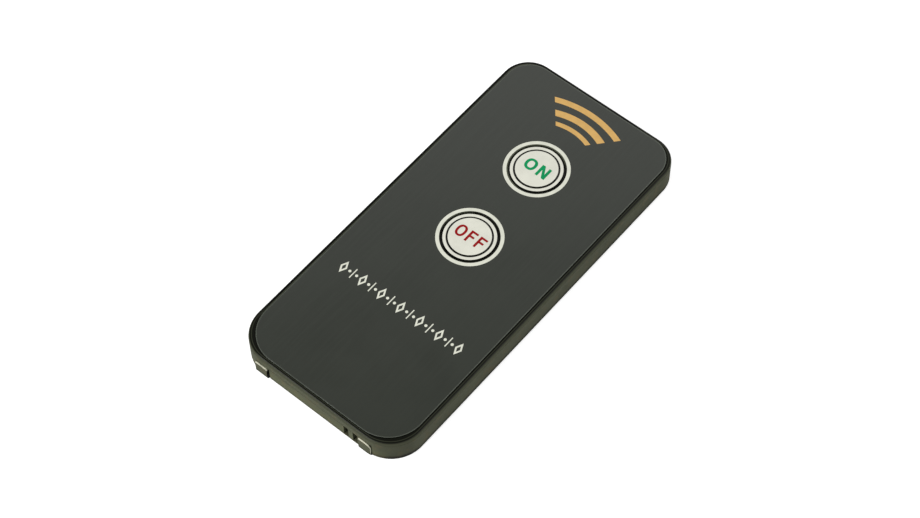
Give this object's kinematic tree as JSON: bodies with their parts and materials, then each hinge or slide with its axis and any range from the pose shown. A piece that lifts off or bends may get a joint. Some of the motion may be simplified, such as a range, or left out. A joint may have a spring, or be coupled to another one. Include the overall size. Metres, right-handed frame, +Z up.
{
  "type": "infrared remote control",
  "caption": "Slim infrared remote control with round on and off keys, and a slide-out coin cell tray held by a squeeze latch.",
  "frame": {"origin": "middle of the footprint, on the surface that the remote rests on", "axes": "+X to the right as the face is read, +Y towards the head with the infrared diode, +Z up out of the face"},
  "size_m": [0.04, 0.0864, 0.0065],
  "materials": {
    "case_plastic": "fine matte moulding",
    "frame_plastic": "glossy moulding",
    "adhesive_film": "soft adhesive sheet",
    "label_film": "satin printed film",
    "key_plastic": "satin white print over plastic",
    "spring_steel": "rolled sheet",
    "clear_film": "clear polyester film",
    "board_laminate": "solder-masked laminate",
    "led_epoxy": "clear dark epoxy",
    "tinned_lead": "tinned",
    "chip_epoxy": "moulded epoxy",
    "resonator_epoxy": "dipped epoxy",
    "capacitor_epoxy": "moulded epoxy",
    "resistor_ceramic": "glazed ceramic",
    "cell_steel": "nickel plated",
    "seal_plastic": "moulded seal",
    "pellet_filler": "pressed powder",
    "white_ink": "screen print",
    "tan_ink": "screen print",
    "green_ink": "screen print",
    "red_ink": "screen print"
  },
  "bodies": {
    "handset": {"rear_shell": "case_plastic", "top_frame": "frame_plastic", "label_adhesive": "adhesive_film", "faceplate_label": "label_film", "on_key_dome": "spring_steel", "on_key_dome_sticker": "clear_film", "off_key_dome": "spring_steel", "off_key_dome_sticker": "clear_film", "circuit_board": "board_laminate", "ir_led": "led_epoxy", "ir_led_leads": "tinned_lead", "controller_chip": "chip_epoxy", "controller_pins": "tinned_lead", "clock_resonator": "resonator_epoxy", "filter_capacitor": "capacitor_epoxy", "led_transistor": "chip_epoxy", "led_resistor": "resistor_ceramic", "pull_up_resistor": "resistor_ceramic", "negative_contact": "spring_steel", "positive_contact": "spring_steel"},
    "upper_key": {"on_key": "key_plastic"},
    "lower_key": {"off_key": "key_plastic"},
    "tray": {"battery_tray": "case_plastic", "cell_can": "cell_steel", "cell_cap": "cell_steel", "cell_seal": "seal_plastic", "cell_pellet": "pellet_filler"},
    "latch": {"tray_latch": "case_plastic"}
  },
  "joints": [
    {"name": "on_key_press", "type": "slide", "parent": "handset", "child": "upper_key", "axis": [0, 0, -1], "range_m": [0, 0.00025], "stiffness_N_per_m": 8000, "deforming": ["on_key_dome", "on_key_dome_sticker"]},
    {"name": "off_key_press", "type": "slide", "parent": "handset", "child": "lower_key", "axis": [0, 0, -1], "range_m": [0, 0.00025], "stiffness_N_per_m": 8000, "deforming": ["off_key_dome", "off_key_dome_sticker"]},
    {"name": "battery_tray_slide", "type": "slide", "parent": "handset", "child": "tray", "axis": [0, -1, 0], "range_m": [0, 0.024]},
    {"name": "latch_squeeze", "type": "hinge", "parent": "tray", "child": "latch", "pos_m": [-0.01277, -0.0243, 0.0022], "axis": [0, 0, 1], "range_deg": [0, 1.2], "stiffness_Nm_per_rad": 1.35}
  ]
}
